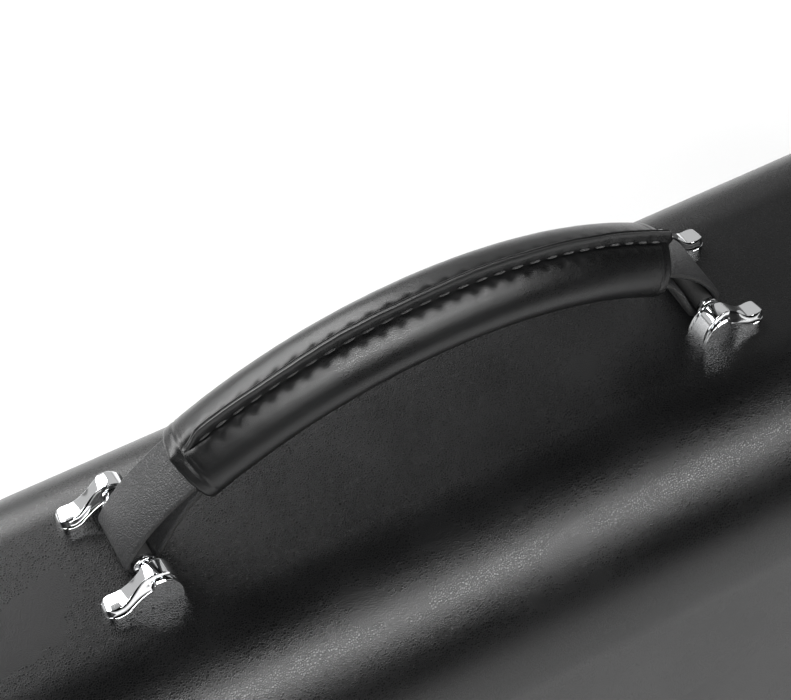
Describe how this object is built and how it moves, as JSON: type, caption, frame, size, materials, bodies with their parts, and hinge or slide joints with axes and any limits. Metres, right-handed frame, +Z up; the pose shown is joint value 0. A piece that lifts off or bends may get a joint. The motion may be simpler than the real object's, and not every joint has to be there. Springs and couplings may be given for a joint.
{
  "type": "violin case",
  "caption": "Oblong violin case on its spine feet: leather-covered shell, stitched carrying handle on chrome lugs, arched hinged lid with latches, plush bed and bow holders.",
  "frame": {"origin": "centre of the footprint, on the surface the spine feet stand on", "axes": "+X along the case, +Y out of the arched lid, +Z up to the carrying handle"},
  "size_m": [0.8148, 0.128, 0.3273],
  "materials": {
    "shell_board": "laminated board",
    "leather_cloth": "fine grained, semi-matt",
    "binding": "smooth piping",
    "plush": "short pile velvet",
    "bed_plush": "short pile velvet over foam",
    "ribbon": "woven ribbon",
    "foot_rubber": "matt",
    "screw_steel": "zinc plated",
    "hardware_chrome": "polished plate",
    "handle_chrome": "polished plate",
    "backing_steel": "plain",
    "strap_leather": "grained, painted edges",
    "grip_leather": "smooth calf, semi-gloss",
    "grip_foam": "firm",
    "spinner_brass": "satin"
  },
  "bodies": {
    "base": {"base_shell": "shell_board", "base_cover": "leather_cloth", "base_binding": "binding", "base_lining": "plush", "suspension_bed": "bed_plush", "neck_cradle": "bed_plush", "neck_tab_catch": "ribbon", "neck_tab_anchor": "ribbon", "accessory_hinge_pin": "screw_steel", "spine_foot_1": "foot_rubber", "spine_foot_2": "foot_rubber", "spine_foot_3": "foot_rubber", "spine_foot_4": "foot_rubber", "foot_screws": "screw_steel", "hinge_base_left": "hardware_chrome", "hinge_base_middle": "hardware_chrome", "hinge_base_right": "hardware_chrome", "hinge_pins": "hardware_chrome", "latch_catch_left": "hardware_chrome", "latch_catch_right": "hardware_chrome", "handle_lug_front_left": "handle_chrome", "handle_lug_back_left": "handle_chrome", "handle_lug_front_right": "handle_chrome", "handle_lug_back_right": "handle_chrome", "handle_pin_left": "handle_chrome", "handle_pin_right": "handle_chrome", "handle_screws": "screw_steel", "backing_plate": "backing_steel", "ring_plate_left": "hardware_chrome", "ring_plate_right": "hardware_chrome"},
    "lid": {"lid_shell": "shell_board", "lid_cover": "leather_cloth", "lid_binding": "binding", "lid_lining": "plush", "hinge_lid_left": "hardware_chrome", "hinge_lid_middle": "hardware_chrome", "hinge_lid_right": "hardware_chrome", "latch_plate_left": "hardware_chrome", "latch_plate_right": "hardware_chrome", "hasp_pins": "hardware_chrome", "bow_frog_holder_lower": "bed_plush", "bow_frog_holder_upper": "bed_plush", "bow_tip_holder_lower": "bed_plush", "bow_tip_holder_upper": "bed_plush", "spinner_pins": "spinner_brass"},
    "hasp_left": {"latch_hasp_left": "hardware_chrome"},
    "hasp_right": {"latch_hasp_right": "hardware_chrome"},
    "button_left": {"latch_button_left": "hardware_chrome"},
    "button_right": {"latch_button_right": "hardware_chrome"},
    "accessory_lid": {"accessory_lid": "bed_plush"},
    "neck_tab": {"neck_tab": "ribbon"},
    "ring_left": {"strap_ring_left": "hardware_chrome"},
    "ring_right": {"strap_ring_right": "hardware_chrome"},
    "spinner_lower": {"bow_spinner_lower": "spinner_brass"},
    "spinner_upper": {"bow_spinner_upper": "spinner_brass"},
    "handle": {"handle_strap": "strap_leather", "grip_core": "grip_foam", "grip_cover": "grip_leather", "grip_welt": "grip_leather"}
  },
  "joints": [
    {"name": "lid_hinge", "type": "hinge", "parent": "base", "child": "lid", "pos_m": [0, 0.03599, 0.02218], "axis": [-1, 0, 0], "range_deg": [0, 80]},
    {"name": "hasp_left", "type": "hinge", "parent": "lid", "child": "hasp_left", "pos_m": [-0.24, 0.04433, 0.2453], "axis": [-1, 0, 0], "range_deg": [0, 120]},
    {"name": "hasp_right", "type": "hinge", "parent": "lid", "child": "hasp_right", "pos_m": [0.24, 0.04433, 0.2453], "axis": [-1, 0, 0], "range_deg": [0, 120]},
    {"name": "latch_button_left", "type": "slide", "parent": "base", "child": "button_left", "axis": [0, -0.8704, -0.4924], "range_m": [0, 0.0015], "stiffness_N_per_m": 300},
    {"name": "latch_button_right", "type": "slide", "parent": "base", "child": "button_right", "axis": [0, -0.8704, -0.4924], "range_m": [0, 0.0015], "stiffness_N_per_m": 300},
    {"name": "accessory_lid_hinge", "type": "hinge", "parent": "base", "child": "accessory_lid", "pos_m": [0.318, 0.0045, 0.1597], "axis": [1, 0, 0], "range_deg": [0, 85]},
    {"name": "neck_tab_hinge", "type": "hinge", "parent": "base", "child": "neck_tab", "pos_m": [0.094, 0.0081, 0.178], "axis": [1, 0, 0], "range_deg": [0, 80]},
    {"name": "ring_left_swing", "type": "hinge", "parent": "base", "child": "ring_left", "pos_m": [-0.4042, -0.0027, 0.2], "axis": [0, 1, 0], "range_deg": [0, 160]},
    {"name": "ring_right_swing", "type": "hinge", "parent": "base", "child": "ring_right", "pos_m": [0.4042, -0.0027, 0.2], "axis": [0, -1, 0], "range_deg": [0, 160]},
    {"name": "spinner_lower_turn", "type": "hinge", "parent": "lid", "child": "spinner_lower", "pos_m": [-0.3, 0.04345, 0.1235], "axis": [0, 1, 0], "range_deg": [-90, 90]},
    {"name": "spinner_upper_turn", "type": "hinge", "parent": "lid", "child": "spinner_upper", "pos_m": [-0.3, 0.04345, 0.1855], "axis": [0, 1, 0], "range_deg": [-90, 90]},
    {"name": "handle_lift", "type": "slide", "parent": "base", "child": "handle", "axis": [0, 0, 1], "range_m": [0, 0.0008]}
  ]
}
